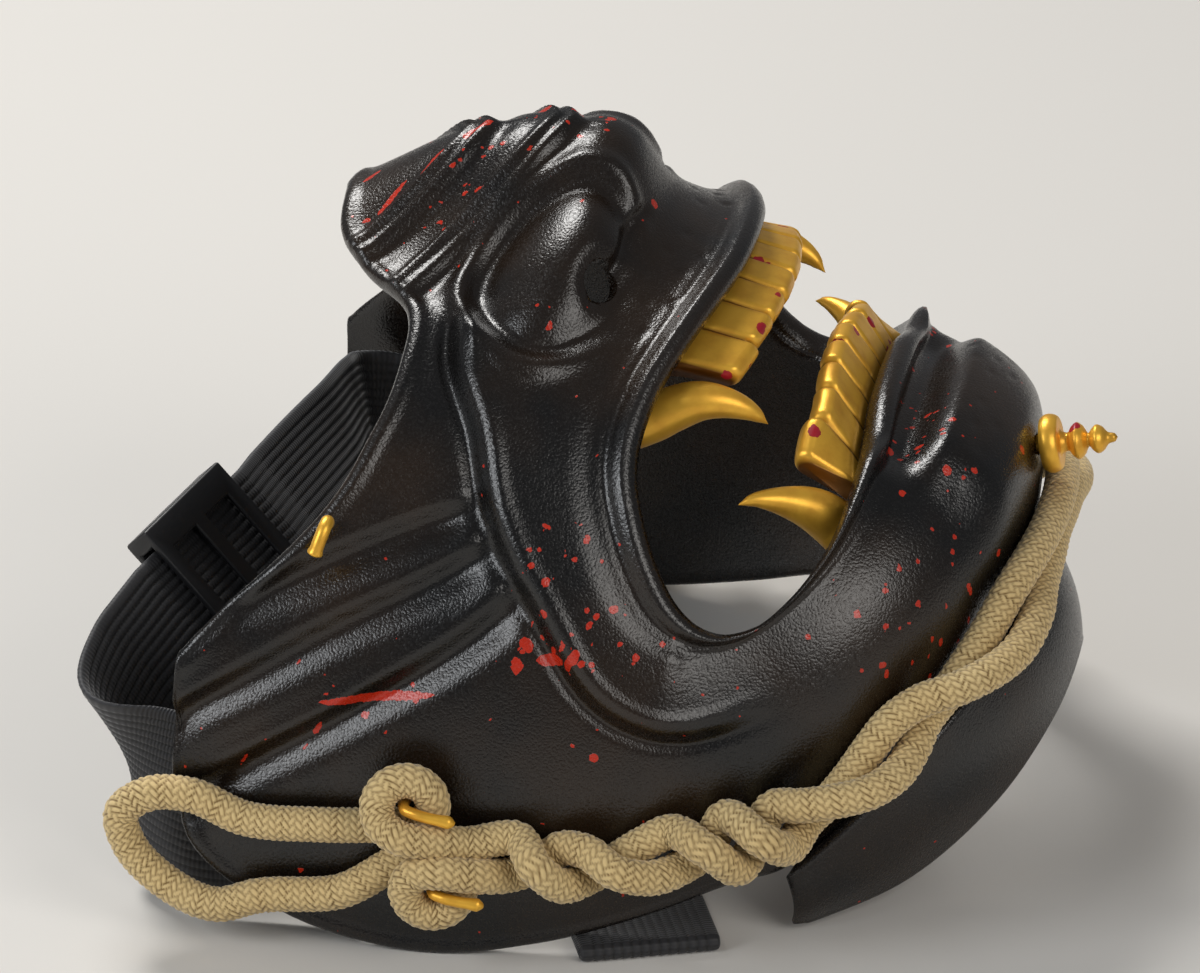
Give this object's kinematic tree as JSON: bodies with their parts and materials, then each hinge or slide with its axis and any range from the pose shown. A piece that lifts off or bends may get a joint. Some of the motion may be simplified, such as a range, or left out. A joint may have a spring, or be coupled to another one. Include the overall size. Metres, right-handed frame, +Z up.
{
  "type": "samurai face guard",
  "caption": "Half mask of lacquered shell with ridged nose, open fanged mouth, chin peg, throat plate, tied cord and webbing straps.",
  "frame": {"origin": "on the ground under the middle of the whole object's box, where the mask lies on its back", "axes": "+Z up, +X from the straps towards the chin, +Y to the wearer's left; the wearer would look along +Z, a little towards +X"},
  "size_m": [0.1698, 0.172, 0.1229],
  "materials": {
    "black_lacquer": "satin black paint with a fine orange-peel texture and dark red flecks",
    "gold_paint": "metallic gold paint, slightly worn",
    "tan_cord": "round braided cord",
    "black_webbing": "ribbed woven webbing",
    "buckle_plastic": "moulded black plastic"
  },
  "bodies": {
    "root": {"face_shell": "black_lacquer", "throat_plate": "black_lacquer", "upper_teeth": "gold_paint", "lower_teeth": "gold_paint", "upper_fang_right": "gold_paint", "upper_fang_left": "gold_paint", "lower_fang_right": "gold_paint", "lower_fang_left": "gold_paint", "chin_peg": "gold_paint", "cheek_hook_right": "gold_paint", "cheek_hook_left": "gold_paint", "jaw_hook_upper_right": "gold_paint", "jaw_hook_upper_left": "gold_paint", "jaw_hook_lower_right": "gold_paint", "jaw_hook_lower_left": "gold_paint", "tie_cord": "tan_cord", "head_strap": "black_webbing", "neck_strap": "black_webbing", "strap_buckle": "buckle_plastic"}
  },
  "joints": []
}
